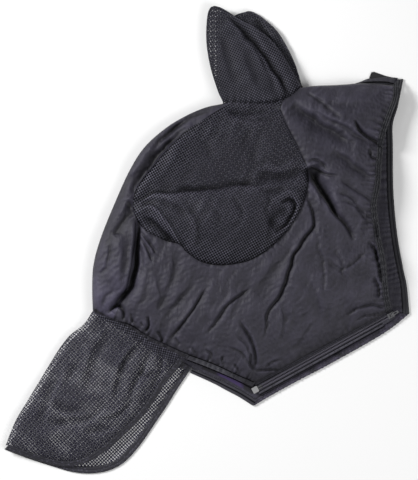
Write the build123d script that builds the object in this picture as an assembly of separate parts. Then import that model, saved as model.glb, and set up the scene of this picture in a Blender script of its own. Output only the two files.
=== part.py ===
from build123d import *
import os
from math import cos, exp, hypot, log, radians, sin

# A zip-up fly mask for a full-size horse, lying closed on its right side with the left side up.
# X runs from the face to the neck, Y from the chin to the ears, Z up from the floor.
# All sizes are in millimetres. Heights of the upper layer come from the functions below.

# Cloth
LYCRA = 1.2
MESH = 1.0
BINDING = 2.4
ORIGIN_X = -1.5
ORIGIN_Y = -2.5

# Height of the upper layer's underside at each edge of the mask, and how fast it rises inwards
FACE_HEIGHT = 50.0
FRONT_EDGE = 30.0
NOSE_EDGE = 25.0
CHIN_EDGE = 19.0
ZIP_EDGE = 7.5
NECK_EDGE = 26.0
CROWN_EDGE = 10.0
EYE_CUP = 22.0
FLAP_HEIGHT = 25.0
FOLD_RADIUS = 14.0
FRONT_TOP = 28.0
FLAP_TOP = 22.0

# Each edge: start, end (inside on its left), edge height, and distance over which it rises
FACE_EDGES = [((-190, 2), (-209, -90), FRONT_EDGE, 60),
              ((-116, 164), (-190, 2), FRONT_EDGE, 60),
              ((26, 241), (-116, 164), FRONT_EDGE, 60),
              ((-209, -131), (-40, -218), NOSE_EDGE, 60),
              ((-42, -216), (80, -272), CHIN_EDGE, 50),
              ((82, -263), (334, -130), ZIP_EDGE, 55),
              ((314, -140), (308, 290), NECK_EDGE, 70),
              ((300, 279), (0, 279), CROWN_EDGE, 45)]
FLAP_EDGES = [((-40, -218), (-209, -131), 21, 60),
              ((-172, -367), (-46, -220), 10, 45),
              ((-366, -386), (-172, -389), 10, 45),
              ((-230, -160), (-345, -340), 17, 60)]

# Zip: the chain runs in a straight line from the chin to the throat
ZIP_START = (80.0, -278.0)
ZIP_END = (338.0, -136.0)
ZIP_HEIGHT = 5.8
TAPE = 0.8
CHAIN_GAP = 0.6
CHAIN_HALF = 3.2
TOOTH_PITCH = 2.5
TOOTH_HEIGHT = 2.4
TEETH_FROM = 20.0
TEETH_TO = 291.0

# Slider and pull
SLIDER_AT = 286.0
SLIDER_LENGTH = 12.0
SLIDER_HALF = 4.6
PLATE = 1.3
PIVOT_HEIGHT = 10.6
PIVOT_RADIUS = 0.7
PULL_LENGTH = 15.0
PULL_WIDTH = 5.0

# Outlines, front of the face first. Each list is a row of points along one seam.
FRONT_OUTER = [(-208, -131), (-209, -90), (-206, -47), (-190, 2), (-174, 44), (-158, 84),
               (-143, 121), (-116, 164), (-78, 194), (-34, 221), (26, 241)]
FRONT_INNER = [(-171, -151), (-171, -95), (-166, -48), (-150, 0), (-134, 40), (-131, 84),
               (-117, 109), (-96, 134), (-58, 176), (-19, 206), (28, 228)]
EYE_LOWER = [(-134, 40), (-129, 31), (-108, 10), (-77, -5), (-49, -13), (-40, -27),
             (-15, -42), (15, -49), (46, -47), (77, -39), (108, -20), (139, 10),
             (164, 44), (173, 69), (179, 94), (181, 118), (173, 134), (161, 164),
             (145, 195), (127, 232)]
EAR_BASE = [(28, 241), (40, 240), (53, 239), (75, 239), (91, 239), (114, 241), (131, 244)]
EAR_CORNER = [(131, 244), (140, 247), (153, 256), (164, 265)]
CROWN_OUTER = [(170, 272), (224, 275), (258, 276), (291, 282), (330, 280)]
CROWN_INNER = [(168, 262), (224, 262), (258, 263), (291, 267), (328, 266)]
NECK_OUTER = [(343, 290), (341, 256), (328, 218), (316, 182), (312, 144), (309, 95),
              (303, 58), (309, 9), (319, -41), (325, -103), (331, -124)]
NECK_INNER = [(330, 281), (328, 254), (316, 218), (304, 182), (300, 144), (297, 95),
              (291, 58), (297, 9), (307, -41), (313, -103), (318, -131)]
ZIP_SEAM_THROAT = (331, -131)
ZIP_SEAM_CHIN = (84, -262)
CHIN_OUTER = [(-36, -219), (6, -235), (50, -254), (76, -268)]
CHIN_INNER = [(-32, -211), (10, -227), (54, -246), (84, -260)]
SEAM_INNER = [(-171, -143), (-32, -211)]
SEAM_OUTER = [(-171, -150), (-36, -219)]
FAR_SEAM = [(-171, -143), (-32, -214), (-30, -235), (-34, -240), (-171, -150)]
CHIN_LINING = [(0, -220), (80, -262), (80, -284), (60, -272), (30, -255), (-12, -238)]
POLL_TAB = [(292, 290.5), (338, 290.5), (321, 295), (301, 302), (296, 301)]

# Right side, which lies flat on the floor
FAR_NECK_OUTER = [(350, 286), (341, 238), (330, 207), (331, 164), (332, 83), (341, -4),
                  (353, -85), (360, -132)]
FAR_NECK_INNER = [(338, 287), (329, 238), (318, 207), (319, 164), (320, 83), (329, -4),
                  (341, -85), (348, -139)]
FAR_ZIP_EDGE = [(359, -139), (316, -166), (219, -223), (111, -284), (86, -298)]
FAR_CHIN_OUTER = [(84, -300), (57, -283), (26, -265), (-33, -245)]
FAR_CHIN_INNER = [(88, -290), (60, -274), (29, -256), (-30, -235)]
FAR_TOP = [(170, 272), (224, 275), (258, 276), (273, 283), (292, 287)]

# Nose flap
FLAP_OUTER = [(-211, -134), (-230, -160), (-258, -189), (-301, -238), (-337, -319), (-362, -368)]
FLAP_INNER = [(-194, -142), (-214, -171), (-242, -201), (-284, -248), (-318, -324), (-338, -366)]
FLAP_HEM_OUTER = [(-47, -222), (-67, -263), (-91, -301), (-129, -337), (-172, -367),
                  (-208, -387), (-264, -392), (-338, -383)]
FLAP_HEM_INNER = [(-57, -216), (-77, -258), (-99, -295), (-135, -329), (-177, -358),
                  (-211, -377), (-264, -382), (-334, -374)]
FAR_HEM_OUTER = [(-37, -246), (-111, -344), (-154, -398), (-190, -419), (-233, -421),
                 (-294, -405), (-346, -384)]
FAR_HEM_INNER = [(-49, -243), (-119, -338), (-160, -390), (-194, -409), (-233, -411),
                 (-291, -395), (-342, -376)]

# Ears, starting along the base
SEAM_WIDTH = 3.0
NEAR_EAR = [(27, 247), (40, 246), (53, 245), (75, 244.5), (91, 244.5), (114, 246), (133, 250),
            (150, 261), (166, 278), (157, 293), (143, 317), (129, 338), (111, 360), (84, 380),
            (58, 394), (35, 407), (19, 414), (5, 416), (-3, 401), (-6, 356), (-1, 311),
            (12, 266)]
FAR_EAR = [(32, 248), (53, 246), (75, 245.5), (91, 245.5), (114, 247), (133, 251), (150, 262),
           (168, 277), (156, 306), (145, 329), (130, 356), (118, 374), (96, 394), (78, 407),
           (66, 407), (42, 395), (24, 360), (19, 310), (21, 270)]


def place(point):
    """Move a drawing point into the part's frame."""
    return (point[0] - ORIGIN_X, point[1] - ORIGIN_Y)


def flat(points, bottom, thickness):
    """A flat plate of the given outline."""
    outline = Polyline(*[(*place(p), bottom) for p in points], close=True)
    return extrude(make_face(outline), amount=thickness, dir=(0, 0, 1))


def line_distance(x, y, a, b):
    """Distance of a point to the left of the line from a to b."""
    length = hypot(b[0] - a[0], b[1] - a[1])
    return ((b[0] - a[0]) * (y - a[1]) - (b[1] - a[1]) * (x - a[0])) / length


def rise(distance, edge, full, reach):
    """Height at a distance inside an edge, levelling off at the full height."""
    return edge + (full - edge) * (1 - exp(-max(distance, -8.0) / reach))


def soft_lowest(heights, softness):
    """The lowest of several heights, rounded where they meet."""
    return -softness * log(sum(exp(-h / softness) for h in heights))


def face_height(x, y):
    """Underside of the left half of the head cover."""
    heights = [FACE_HEIGHT]
    for start, end, edge, reach in FACE_EDGES:
        heights.append(rise(line_distance(x, y, start, end), edge, FACE_HEIGHT, reach))
    cup = EYE_CUP * exp(-((x - 20) / 80) ** 2 - ((y - 35) / 50) ** 2)
    return soft_lowest(heights, 4.0) + 5.0 + cup


def flap_height(x, y):
    """Underside of the left half of the nose flap."""
    heights = [FLAP_HEIGHT]
    for start, end, edge, reach in FLAP_EDGES:
        heights.append(rise(line_distance(x, y, start, end), edge, FLAP_HEIGHT, reach))
    return soft_lowest(heights, 2.5)


def ear_bulge(x, y):
    """How open the ear pocket is: widest on the ear's centre line, near its base."""
    centre = 95 - 0.49 * (y - 245)
    return exp(-((x - centre) / 34) ** 2) * (1 - 0.7 * (y - 245) / 171)


def near_ear_middle(x, y):
    """Mid height of the left ear, which lies on top of the right ear."""
    corner = max(0.0, (x - 114) / 54)
    return 24 - 0.05 * (y - 245) - 8 * corner * corner


def near_ear_top(x, y):
    return near_ear_middle(x, y) + 1.5 + 6.5 * ear_bulge(x, y)


def near_ear_bottom(x, y):
    return near_ear_middle(x, y) - 2.5 - 4 * ear_bulge(x, y)


def near_ear_seam(x, y):
    return near_ear_middle(x, y) - 2.5


def far_ear_top(x, y):
    return 6.5 + 5 * ear_bulge(x - 20, y)


def far_ear_seam(x, y):
    return 4.5


def far_ear_bottom(x, y):
    return 4.5 - 3.5 * ear_bulge(x - 20, y)


def layer(height, corner_a, corner_b, lift, thickness, steps=14):
    """A sheet of cloth that follows a height function over a rectangle."""
    rows = []
    for i in range(steps + 1):
        x = corner_a[0] + (corner_b[0] - corner_a[0]) * i / steps
        row = []
        for j in range(steps + 1):
            y = corner_a[1] + (corner_b[1] - corner_a[1]) * j / steps
            row.append((*place((x, y)), height(x, y) + lift))
        rows.append(row)
    surface = Face.make_surface_from_array_of_points(rows, tol=0.05)
    return Solid.extrude(surface, Vector(0, 0, thickness))


def cut_panel(sheet, points):
    """The part of a sheet of cloth inside an outline."""
    return sheet & flat(points, -5.0, 120.0)


def fold_section(outer, inner, top, inner_top, thickness):
    """One cross-section of cloth folded round an edge, open towards the inside."""
    ox, oy = place(outer)
    ix, iy = place(inner)
    width = hypot(ix - ox, iy - oy)
    dx, dy = (ix - ox) / width, (iy - oy) / width
    depth = min(FOLD_RADIUS, 0.8 * width)
    half = top / 2
    outside = [(width, 0.0)]
    inside = [(width, inner_top - thickness)]
    for k in range(9):
        turn = radians(-90 + 22.5 * k)
        outside.append((depth - depth * cos(turn), half + half * sin(turn)))
        inside.append((depth - (depth - thickness) * cos(-turn),
                       half + (half - thickness) * sin(-turn)))
    outside.append((width, inner_top))
    inside.append((width, thickness))
    points = [(ox + dx * u, oy + dy * u, z) for u, z in outside + inside]
    return make_face(Polyline(*points, close=True))


def folded_strip(outers, inners, tops, height, thickness):
    """Cloth folded round an edge: a loft through its cross-sections."""
    sections = []
    for outer, inner, top in zip(outers, inners, tops):
        inner_top = height(*inner) + thickness
        sections.append(fold_section(outer, inner, min(top, inner_top), inner_top, thickness))
    return loft(sections, ruled=True)


def along_zip(distance, offset):
    """Point at a distance along the chain and an offset towards the left side panel."""
    length = hypot(ZIP_END[0] - ZIP_START[0], ZIP_END[1] - ZIP_START[1])
    ax = (ZIP_END[0] - ZIP_START[0]) / length
    ay = (ZIP_END[1] - ZIP_START[1]) / length
    return (ZIP_START[0] + ax * distance - ay * offset, ZIP_START[1] + ay * distance + ax * offset)


def zip_block(start, end, low, high, bottom, top):
    """A block between two distances and two offsets along the chain."""
    corners = [along_zip(start, low), along_zip(end, low), along_zip(end, high),
               along_zip(start, high)]
    return flat(corners, bottom, top - bottom)


def lycra_panels(face_sheet):
    left = FRONT_INNER[4:0:-1] + SEAM_INNER + CHIN_INNER[1:]
    left = left + [ZIP_SEAM_CHIN, ZIP_SEAM_THROAT] + NECK_INNER[::-1] + CROWN_INNER[::-1]
    left = left + EAR_CORNER[::-1] + EYE_LOWER[:0:-1]
    right = FRONT_INNER[4:0:-1] + SEAM_INNER + FAR_CHIN_INNER[::-1]
    right = right + FAR_ZIP_EDGE[::-1] + FAR_NECK_INNER[::-1] + FAR_TOP[::-1]
    right = right + CROWN_INNER[:1] + EAR_CORNER[::-1] + EYE_LOWER[:0:-1]
    return cut_panel(face_sheet, left), right


def eye_outline():
    return FRONT_INNER[4:] + EAR_BASE + EYE_LOWER[:0:-1]


def turned_edge():
    """The right panel's lycra turned up and back over the edge, beside the right zip tape."""
    lip = [(p[0] - 0.5, p[1] + 0.9) for p in FAR_ZIP_EDGE]
    back = [(p[0] - 2.4, p[1] + 4.4) for p in FAR_ZIP_EDGE]
    wall = flat(FAR_ZIP_EDGE + lip[::-1], 0.0, ZIP_HEIGHT)
    cover = flat(FAR_ZIP_EDGE + back[::-1], ZIP_HEIGHT - 0.6, LYCRA)
    return wall + cover


def band(outer, inner, height, low, high):
    """An elastic binding along an edge of the upper layer."""
    xs = [p[0] for p in outer + inner]
    ys = [p[1] for p in outer + inner]
    a = (min(xs) - 4, min(ys) - 4)
    b = (max(xs) + 4, max(ys) + 4)
    return cut_panel(layer(height, a, b, low, high - low, 14), outer + inner[::-1])


def tooth_row(side):
    """One row of teeth: a rail on the tape with evenly spaced teeth facing the middle."""
    count = int((TEETH_TO - TEETH_FROM) / TOOTH_PITCH)
    points = [along_zip(TEETH_FROM, side * CHAIN_HALF)]
    for k in range(count):
        start = TEETH_FROM + k * TOOTH_PITCH
        for distance, offset in ((0.0, 2.2), (0.5, 2.2), (0.7, CHAIN_GAP), (1.9, CHAIN_GAP),
                                 (2.1, 2.2)):
            points.append(along_zip(start + distance, side * offset))
    points.append(along_zip(TEETH_FROM + count * TOOTH_PITCH, side * 2.2))
    points.append(along_zip(TEETH_FROM + count * TOOTH_PITCH, side * CHAIN_HALF))
    return flat(points, ZIP_HEIGHT - TOOTH_HEIGHT / 2, TOOTH_HEIGHT)


def zip_tapes():
    """The two tapes: the left one reaches its panel's seam, the right one the turned edge."""
    left = [along_zip(11.5, CHAIN_HALF), along_zip(292, CHAIN_HALF), ZIP_SEAM_THROAT,
            ZIP_SEAM_CHIN]
    right = [along_zip(11.5, -CHAIN_HALF), along_zip(292, -CHAIN_HALF), along_zip(292, -7.9),
             along_zip(261, -10.0), along_zip(148, -13.3), along_zip(11.5, -14.0)]
    bottom = ZIP_HEIGHT - TAPE / 2
    return flat(left, bottom, TAPE), flat(right, bottom, TAPE)


def slider_body():
    """Two plates round the chain, joined by a thin post, with two lugs and a pivot pin on top."""
    start = SLIDER_AT - SLIDER_LENGTH / 2
    end = SLIDER_AT + SLIDER_LENGTH / 2
    top = ZIP_HEIGHT + TOOTH_HEIGHT / 2 + 0.4
    bottom = ZIP_HEIGHT - TOOTH_HEIGHT / 2 - 0.4
    body = zip_block(start, end, -SLIDER_HALF, SLIDER_HALF, top, top + PLATE)
    body += zip_block(start, end, -SLIDER_HALF, SLIDER_HALF, bottom - PLATE, bottom)
    body += zip_block(end - 3.5, end - 0.5, -0.3, 0.3, bottom - 0.2, top + 0.2)
    for side in (-1, 1):
        low, high = sorted((side * 3.7, side * SLIDER_HALF))
        body += zip_block(start, end, low, high, ZIP_HEIGHT + 0.9, top + 0.2)
        body += zip_block(start, end, low, high, bottom - 0.2, ZIP_HEIGHT - 0.9)
        low, high = sorted((side * 2.9, side * 4.2))
        body += zip_block(SLIDER_AT - 2, SLIDER_AT + 2, low, high, top + PLATE - 0.2, 12.2)
    return body + across_zip(SLIDER_AT, 3.4, PIVOT_RADIUS)


def across_zip(distance, half_length, radius):
    """A round bar across the chain at the pivot height."""
    x, y = place(along_zip(distance, -half_length))
    end_x, end_y = place(along_zip(distance, half_length))
    run = Vector(end_x - x, end_y - y, 0)
    plane = Plane(origin=(x, y, PIVOT_HEIGHT), z_dir=run)
    return Solid.make_cylinder(radius, run.length, plane)


def pull_tab():
    """Flat pull with an eye on the slider's pivot pin, lying towards the throat."""
    body = across_zip(SLIDER_AT, PULL_WIDTH / 2, 1.6)
    body += zip_block(SLIDER_AT, SLIDER_AT + PULL_LENGTH, -PULL_WIDTH / 2, PULL_WIDTH / 2,
                      PIVOT_HEIGHT - 0.6, PIVOT_HEIGHT + 0.6)
    body -= across_zip(SLIDER_AT, 6.0, PIVOT_RADIUS + 0.12)
    return body - zip_block(SLIDER_AT + 5, SLIDER_AT + 12, -1.2, 1.2, 5.0, 15.0)


def end_pins():
    """Insertion pin and retainer pin beside the retainer box."""
    pins = []
    for side in (-1, 1):
        low, high = sorted((side * 0.7, side * 3.0))
        pins.append(zip_block(11.3, 19.5, low, high, ZIP_HEIGHT - 1.2, ZIP_HEIGHT + 1.2))
    return Compound(children=pins)


def top_stops():
    stops = []
    for side in (-1, 1):
        low, high = sorted((side * 0.8, side * 3.0))
        stops.append(zip_block(292.6, 294.8, low, high, ZIP_HEIGHT - 1.3, ZIP_HEIGHT + 1.3))
    return Compound(children=stops)


def retainer_box():
    box = zip_block(0.0, 11.0, -5.5, 5.5, ZIP_HEIGHT - 1.9, ZIP_HEIGHT + 1.9)
    return fillet(box.edges().filter_by(Axis.Z), 1.5)


def ear_layers(outline, top, bottom):
    """Outer and inner mesh of one ear, cut from two bulging sheets."""
    xs = [p[0] for p in outline]
    ys = [p[1] for p in outline]
    a = (min(xs) - 4, min(ys) - 4)
    b = (max(xs) + 4, max(ys) + 4)
    core = shrink(outline, SEAM_WIDTH)
    outer = cut_panel(layer(top, a, b, 0.0, MESH), core)
    inner = cut_panel(layer(bottom, a, b, 0.0, MESH), core)
    return outer, inner


def ear_seam(outline, height, thickness):
    """Bound seam round the ear's two free edges, open along the base."""
    xs = [p[0] for p in outline]
    ys = [p[1] for p in outline]
    sheet = layer(height, (min(xs) - 4, min(ys) - 4), (max(xs) + 4, max(ys) + 4), 0.0, thickness)
    free = outline[7:] + outline[:1]
    return cut_panel(sheet, free + shrink(outline, SEAM_WIDTH)[7:][::-1])


def shrink(outline, distance):
    """Move every point of an outline inwards."""
    middle_x = sum(p[0] for p in outline) / len(outline)
    middle_y = sum(p[1] for p in outline) / len(outline)
    moved = []
    for x, y in outline:
        span = hypot(x - middle_x, y - middle_y)
        moved.append((x - (x - middle_x) / span * distance, y - (y - middle_y) / span * distance))
    return moved


def save(shape, name):
    export_step(shape, f"parts/{name}.step")


def head_cover():
    """The cloth of the head cover: panels, eye meshes, folded strips and bindings."""
    face_sheet = layer(face_height, (-215, -285), (345, 300), 0.0, LYCRA, 16)
    mesh_sheet = layer(face_height, (-150, -70), (195, 250), 0.0, MESH)
    left_panel, right_outline = lycra_panels(face_sheet)
    save(left_panel, "left_side_panel")
    save(flat(right_outline, 0.0, LYCRA) + turned_edge(), "right_side_panel")
    save(cut_panel(mesh_sheet, eye_outline()), "left_eye_mesh")
    save(flat(eye_outline(), 0.0, MESH), "right_eye_mesh")
    tops = [FRONT_TOP] * len(FRONT_OUTER)
    save(folded_strip(FRONT_OUTER, FRONT_INNER, tops, face_height, LYCRA), "forehead_panel")
    tops = [CROWN_EDGE + LYCRA] * len(CROWN_OUTER)
    crown = folded_strip(CROWN_OUTER, CROWN_INNER, tops, face_height, LYCRA)
    save(crown.moved(Location((0, 0, LYCRA + 0.1))), "crown_panel")


def bindings():
    """Elastic bindings, seam tapes, chin lining and poll tab."""
    save(band(NECK_OUTER, NECK_INNER, face_height, -0.6, 1.8), "left_neck_binding")
    save(flat(FAR_NECK_OUTER + FAR_NECK_INNER[::-1], 0.0, BINDING), "right_neck_binding")
    save(band(CHIN_OUTER, CHIN_INNER, face_height, -0.6, 1.8), "left_chin_binding")
    save(flat(FAR_CHIN_OUTER + FAR_CHIN_INNER[::-1], 0.0, BINDING), "right_chin_binding")
    save(band(SEAM_OUTER, SEAM_INNER, face_height, -0.4, 1.6), "left_nose_seam_tape")
    save(flat(FAR_SEAM, 0.0, BINDING), "right_nose_seam_tape")
    save(flat(CHIN_LINING, LYCRA + 0.1, 0.8), "chin_lining")
    save(flat(POLL_TAB, 0.0, 1.5), "poll_tab")


def zip_fastener():
    left_tape, right_tape = zip_tapes()
    save(left_tape, "left_zip_tape")
    save(right_tape, "right_zip_tape")
    save(tooth_row(1), "left_zip_teeth")
    save(tooth_row(-1), "right_zip_teeth")
    save(retainer_box(), "zip_retainer_box")
    save(end_pins(), "zip_end_pins")
    save(top_stops(), "zip_top_stops")
    save(slider_body(), "zip_slider_body")
    save(pull_tab(), "zip_pull_tab")


def nose_flap():
    sheet = layer(flap_height, (-350, -400), (-30, -130), 0.0, MESH)
    save(cut_panel(sheet, FLAP_INNER + FLAP_HEM_INNER[::-1]), "left_nose_mesh")
    save(flat(FLAP_INNER + FAR_HEM_INNER[::-1], 0.3, MESH), "right_nose_mesh")
    tops = [FLAP_TOP - 0.05 * hypot(p[0] + 211, p[1] + 134) for p in FLAP_OUTER]
    strip = folded_strip(FLAP_OUTER, FLAP_INNER, tops, flap_height, MESH)
    save(strip.moved(Location((0, 0, 0.3))), "nose_mesh_front_fold")
    save(band(FLAP_HEM_OUTER, FLAP_HEM_INNER, flap_height, -0.6, 1.8), "left_nose_hem")
    save(flat(FAR_HEM_OUTER + FAR_HEM_INNER[::-1], 0.3, BINDING), "right_nose_hem")


def ears():
    outer, inner = ear_layers(NEAR_EAR, near_ear_top, near_ear_bottom)
    save(outer, "left_ear_outer_mesh")
    save(inner, "left_ear_inner_mesh")
    save(ear_seam(NEAR_EAR, near_ear_seam, 6.0), "left_ear_edge_seam")
    outer, inner = ear_layers(FAR_EAR, far_ear_top, far_ear_bottom)
    save(outer, "right_ear_outer_mesh")
    save(inner, "right_ear_inner_mesh")
    save(ear_seam(FAR_EAR, far_ear_seam, 4.0), "right_ear_edge_seam")


def main():
    os.makedirs("parts", exist_ok=True)
    head_cover()
    bindings()
    zip_fastener()
    nose_flap()
    ears()


main()
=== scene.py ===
import math

import bpy
import numpy as np
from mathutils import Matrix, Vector
from mathutils.geometry import delaunay_2d_cdt


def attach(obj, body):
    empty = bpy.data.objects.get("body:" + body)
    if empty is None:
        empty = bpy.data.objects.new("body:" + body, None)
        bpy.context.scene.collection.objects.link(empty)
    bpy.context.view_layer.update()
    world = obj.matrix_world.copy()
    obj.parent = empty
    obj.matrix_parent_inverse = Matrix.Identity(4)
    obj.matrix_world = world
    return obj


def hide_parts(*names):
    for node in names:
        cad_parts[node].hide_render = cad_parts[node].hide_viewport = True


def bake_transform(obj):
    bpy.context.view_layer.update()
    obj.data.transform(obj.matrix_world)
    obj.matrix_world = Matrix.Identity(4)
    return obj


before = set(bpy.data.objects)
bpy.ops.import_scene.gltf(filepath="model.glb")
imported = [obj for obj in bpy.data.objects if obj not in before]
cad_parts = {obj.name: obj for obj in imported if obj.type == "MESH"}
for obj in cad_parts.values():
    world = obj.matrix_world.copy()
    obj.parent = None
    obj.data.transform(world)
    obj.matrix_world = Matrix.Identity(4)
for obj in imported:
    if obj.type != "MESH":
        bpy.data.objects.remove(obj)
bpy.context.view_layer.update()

OFFSET = np.array([1.5, 2.5])     # from the drawing's origin to the frame's, mm
PHASE = 6.28                      # a random phase lies between 0 and this

# --- Drawing, mm
# The head cover. X runs from face to neck, Y from chin to ears.
FRONT = [(-209.5, -131), (-210.5, -90), (-208, -47), (-194, 3), (-168.5, 66), (-143.5, 121),
         (-117, 163), (-80, 197), (-43, 220), (-6, 236), (26, 243)]
BAND_SEAM = [(-172, -148), (-160, -120), (-147, -92), (-138, -50), (-130, 5), (-130, 33)]
EYE_FRONT = [(-130, 33), (-135, 50), (-136, 66), (-131, 87), (-117, 109), (-96, 134), (-76, 158),
             (-58, 176), (-40, 194), (-15, 209), (3, 221), (28, 238)]
EYE_LOWER = [(-130, 33), (-119, 19), (-108, 10), (-77, -5), (-52, -12), (-40, -25), (-15, -42),
             (15, -49), (46, -47), (77, -39), (108, -20), (139, 10), (162, 44), (173, 69),
             (179, 94), (180, 118), (173, 136), (161, 164), (145, 195), (129, 232)]
EAR_BASE = [(28, 244), (40, 243), (53, 242), (75, 241), (91, 240), (114, 242), (133, 247),
            (151, 258), (168, 274)]
CROWN = [(168, 274), (196, 276.5), (224, 277.5), (250, 279), (273, 281), (300, 281), (334, 277)]
NECK_SEAM = [(334, 277), (331, 252), (318, 217), (306, 182), (302, 144), (298, 95), (292, 58),
             (298, 9), (308, -41), (314, -100), (321, -135)]
NECK_EDGE = [(344, 287), (342, 254), (329, 216), (317, 181), (313, 144), (309, 95), (303, 58),
             (309, 10), (319, -41), (325, -101), (332, -128)]
ZIP_SEAM = [(321, -135), (260, -168), (200, -200), (140, -232), (84, -262)]
CHIN_SEAM = [(84, -262), (52, -247), (10, -228), (-34, -212)]
CHIN_EDGE = [(80, -270), (50, -255), (6, -236), (-38, -219)]
NOSE_SEAM = [(-34, -212), (-73, -195), (-111, -177), (-141, -158), (-172, -148)]
NOSE_LINE = [(-208, -133), (-172, -145), (-141, -163), (-111, -183), (-73, -201), (-38, -219)]

FAR_NECK_EDGE = [(354, 289), (344, 239), (335, 207), (335, 164), (336, 83), (343, 6), (353.5, -54),
                 (360.5, -88), (365, -137)]
FAR_NECK_SEAM = [(343, 288), (333, 239), (324, 207), (324, 164), (325, 83), (332, 6), (342.5, -54),
                 (349.5, -88), (353, -141)]
FAR_CROWN = [(168, 274), (224, 275), (250, 277), (273, 283), (292, 290), (316, 293), (344, 291)]
FAR_OUTER = [(365, -137), (317, -171), (221, -226), (112, -285), (86, -301)]
FAR_CHIN_EDGE = [(81, -305), (54, -288), (31, -276), (9, -264), (-33, -245)]
FAR_CHIN_SEAM = [(88, -294), (60, -277), (36, -265), (12, -254), (-30, -236)]
FAR_NOSE = [(-30, -235), (-100, -196), (-172, -148)]

# The nose flap
FLAP_FRONT = [(-211, -134), (-226, -156), (-252, -177), (-272, -203), (-290, -232), (-310, -265),
              (-330, -298), (-350, -332), (-368, -376)]
FLAP_HEM = [(-46, -221), (-56, -237), (-77, -262), (-94, -289), (-116, -320), (-142, -347),
            (-169, -372), (-198, -394), (-222, -407), (-251, -413.5), (-283, -411), (-325, -398),
            (-369, -383)]
FLAP_HEM_IN = [(-55, -217), (-64, -231), (-85, -256), (-102, -283), (-124, -314), (-149, -340),
               (-175, -364), (-203, -385), (-226, -398), (-251, -404.5), (-280, -402),
               (-321, -389), (-362, -375)]
FAR_HEM = [(-35, -242), (-57, -275), (-77, -307), (-98, -338), (-119, -369), (-141, -396),
           (-161, -413), (-186, -424), (-216, -428), (-248, -425), (-283, -415), (-328, -400.5),
           (-371, -384)]
FAR_HEM_IN = [(-43, -237), (-65, -269), (-87, -300), (-108, -332), (-129.5, -362), (-150, -387),
              (-166.5, -402), (-188.5, -411.5), (-216, -415.5), (-246, -413), (-280, -404),
              (-324, -389.5), (-363, -375)]

# Ears
NEAR_EAR = [(168, 276), (157, 293), (143, 317), (129, 338), (111, 360), (84, 380), (58, 394),
            (35, 409), (20, 417), (6, 418), (-2, 402), (-4, 357), (3, 311), (16, 268), (26, 246)]
FAR_EAR = [(169, 277), (160, 308), (150, 332), (136, 358), (123, 377), (101, 397), (81, 410),
           (66, 410), (42, 398), (24, 361), (19, 310), (21, 270), (30, 248)]
FAR_EAR_BASE = [(30, 248), (53, 246), (91, 245), (114, 247), (133, 251), (151, 262), (169, 277)]

# Height of the upper layer at each edge: start, end with the inside on its left, height, reach
FACE_EDGES = [((-190, 2), (-209, -90), 30, 60), ((-116, 164), (-190, 2), 30, 60),
              ((26, 241), (-116, 164), 30, 60), ((-209, -131), (-40, -218), 25, 60),
              ((-42, -216), (80, -272), 19, 50), ((82, -263), (334, -130), 7.5, 55),
              ((314, -140), (308, 290), 26, 70), ((300, 279), (0, 279), 10, 45)]
FLAP_EDGES = [((-40, -218), (-209, -131), 24, 60), ((-180, -384), (-46, -222), 10, 45),
              ((-366, -388), (-200, -412), 10, 45), ((-230, -160), (-345, -340), 17, 60)]

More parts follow.
